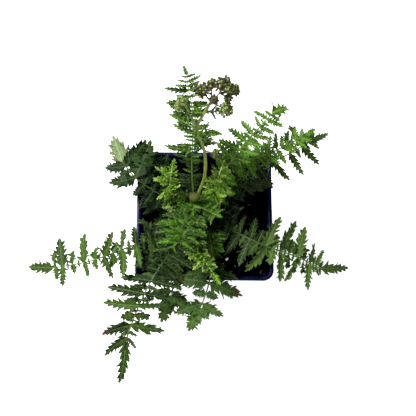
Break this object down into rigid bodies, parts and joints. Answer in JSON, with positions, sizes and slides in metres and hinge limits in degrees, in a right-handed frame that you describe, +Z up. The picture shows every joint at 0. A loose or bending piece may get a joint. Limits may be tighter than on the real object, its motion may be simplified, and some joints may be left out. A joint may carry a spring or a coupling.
{
  "type": "potted meadowsweet",
  "caption": "Young fern-leaved meadowsweet in a square nursery pot: arching cut leaves round a thin flowering stem that ends in clumps of small unopened buds.",
  "frame": {"origin": "centre of the pot's base, on the surface that the pot stands on", "axes": "+Z up; +X to the right and +Y to the back of the plant as it is seen from above in the picture"},
  "size_m": [0.2095, 0.1709, 0.2312],
  "materials": {
    "pot": "soft sheen, dark blue",
    "soil": "matt, crumbly, near black",
    "leaf": "matt green, paler below",
    "young_leaf": "soft bright green",
    "stem": "matt pale green",
    "ripe_buds": "matt purple brown",
    "green_buds": "matt green"
  },
  "bodies": {
    "root": {"pot": "pot", "soil": "soil", "leaf_east": "leaf", "leaf_west": "leaf", "leaf_southwest": "leaf", "leaf_south": "leaf", "leaf_southeast": "leaf", "leaf_northeast": "leaf", "leaf_northeast_fine": "leaf", "leaf_east_northeast": "leaf", "leaf_east_low": "leaf", "leaf_northwest": "leaf", "leaf_north_low": "leaf", "leaf_west_low": "leaf", "young_northwest": "young_leaf", "young_northeast": "young_leaf", "young_south": "young_leaf", "leaf_southwest_fine": "leaf", "leaf_south_fine": "leaf", "leaf_centre": "leaf", "flowering_stem": "stem", "bud_clump_left": "ripe_buds", "bud_clump_back": "ripe_buds", "bud_clump_top": "ripe_buds", "bud_clump_right": "ripe_buds", "bud_clump_middle": "ripe_buds", "bud_clump_inner": "ripe_buds", "bud_clump_front": "green_buds", "bud_clump_side": "green_buds", "bud_clump_low": "green_buds", "bud_clump_axil": "green_buds"}
  },
  "joints": []
}
